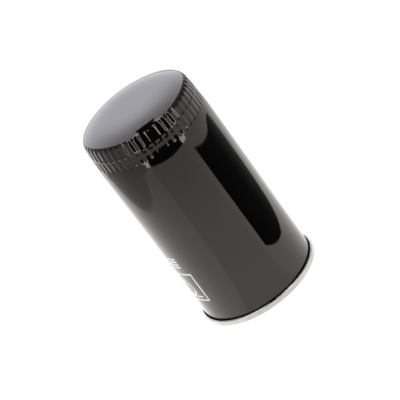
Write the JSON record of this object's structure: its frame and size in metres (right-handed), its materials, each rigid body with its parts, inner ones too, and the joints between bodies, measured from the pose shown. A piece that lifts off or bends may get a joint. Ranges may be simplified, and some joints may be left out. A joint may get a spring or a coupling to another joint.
{
  "type": "oil filter",
  "caption": "Spin-on oil filter: domed black can with a fluted grip band, rolled bright seam, sealing gasket, threaded base plate, pleated element and valves.",
  "frame": {"origin": "centre of the gasket's sealing face, the lowest face of the filter", "axes": "+Z along the filter's axis, from the gasket towards the domed closed end; +X through one inlet hole"},
  "size_m": [0.0972, 0.0972, 0.1775],
  "materials": {
    "can_paint": "black gloss stove enamel on drawn steel",
    "lid_tinplate": "bright tinplate, rolled",
    "gasket_rubber": "moulded black nitrile rubber",
    "plate_steel": "pressed and tapped steel with a thin zinc flash",
    "valve_rubber": "moulded oxide-red silicone rubber",
    "cap_tinplate": "pressed tinplate",
    "potting": "cured plastisol adhesive",
    "filter_paper": "resin-impregnated pleated filter paper",
    "clip_steel": "bright folded steel strip",
    "tube_steel": "punched bare steel sheet",
    "spring_steel": "oil-tempered drawn spring wire"
  },
  "bodies": {
    "root": {"can": "can_paint", "seaming_lid": "lid_tinplate", "sealing_gasket": "gasket_rubber", "base_plate": "plate_steel", "anti_drain_collar": "valve_rubber", "lower_end_cap": "cap_tinplate", "upper_end_cap": "cap_tinplate", "lower_potting": "potting", "upper_potting": "potting", "pleated_paper": "filter_paper", "paper_seam_clip": "clip_steel", "centre_tube": "tube_steel", "bypass_seat": "cap_tinplate", "bypass_cage": "tube_steel", "bypass_spring": "spring_steel", "element_spring": "spring_steel"},
    "anti_drain_flap": {"anti_drain_lip": "valve_rubber"},
    "bypass_valve": {"bypass_disc": "tube_steel", "bypass_seal": "valve_rubber", "bypass_guide_pin": "clip_steel"}
  },
  "joints": [
    {"name": "anti_drain_lip_lift", "type": "slide", "parent": "root", "child": "anti_drain_flap", "axis": [0, 0, 1], "range_m": [0, 0.0025], "stiffness_N_per_m": 60, "springref_m": -0.002},
    {"name": "bypass_valve_lift", "type": "slide", "parent": "root", "child": "bypass_valve", "axis": [0, 0, -1], "range_m": [0, 0.004], "stiffness_N_per_m": 250, "springref_m": -0.004, "deforming": ["bypass_spring"]}
  ]
}
